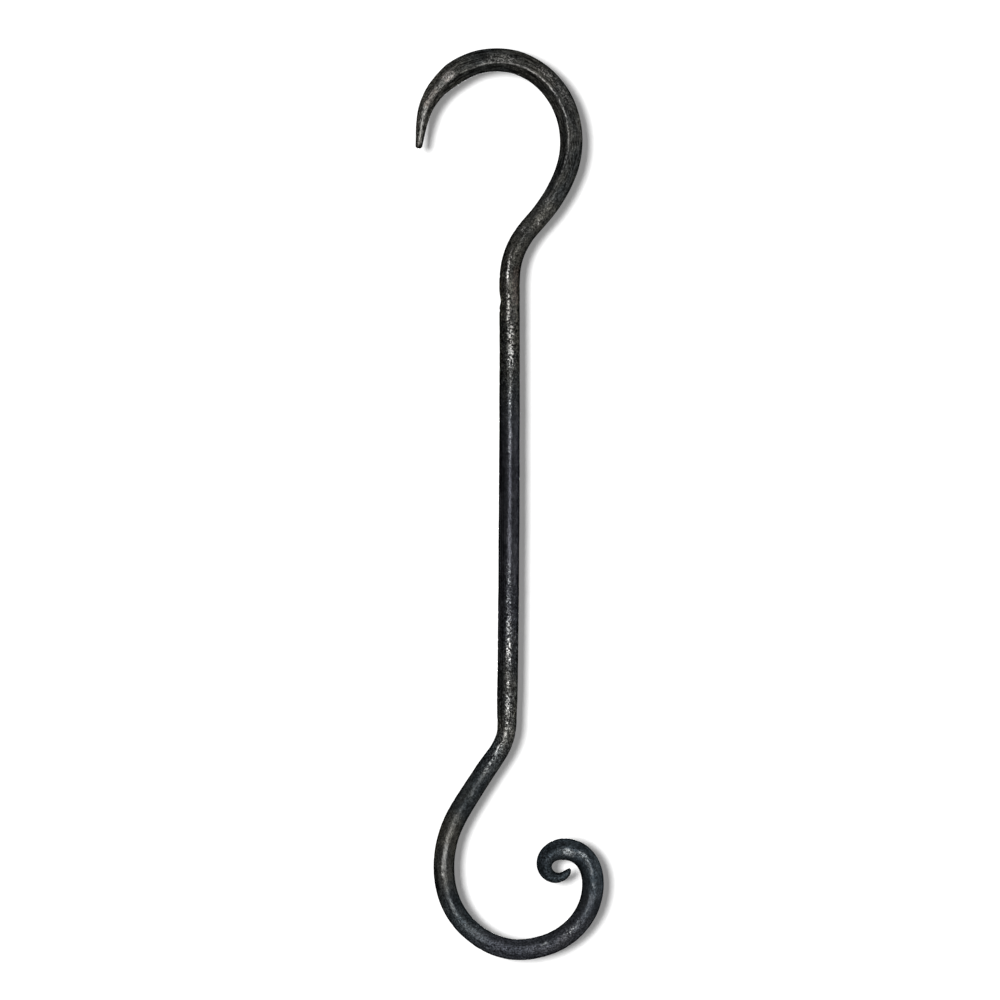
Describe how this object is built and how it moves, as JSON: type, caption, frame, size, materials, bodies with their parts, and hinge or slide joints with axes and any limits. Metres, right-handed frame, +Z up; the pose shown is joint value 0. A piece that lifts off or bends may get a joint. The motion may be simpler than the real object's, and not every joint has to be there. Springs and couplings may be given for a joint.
{
  "type": "s hook",
  "caption": "Long hand-forged iron S hook: tapered open crook at the top, straight round shank, and a bowl ending in a tapered scroll, for hanging a load from a rail.",
  "frame": {"origin": "the crook's seat: the highest point inside the crook, where the rail bears, in the middle of the bar's thickness", "axes": "+Z up along the shank, +X to the side that the bowl opens to, +Y through the thickness of the bar, away from the viewer"},
  "size_m": [0.0631, 0.0068, 0.3],
  "materials": {
    "black_iron": "hand-forged, blackened and waxed, satin"
  },
  "bodies": {
    "root": {"s_hook": "black_iron"}
  },
  "joints": []
}
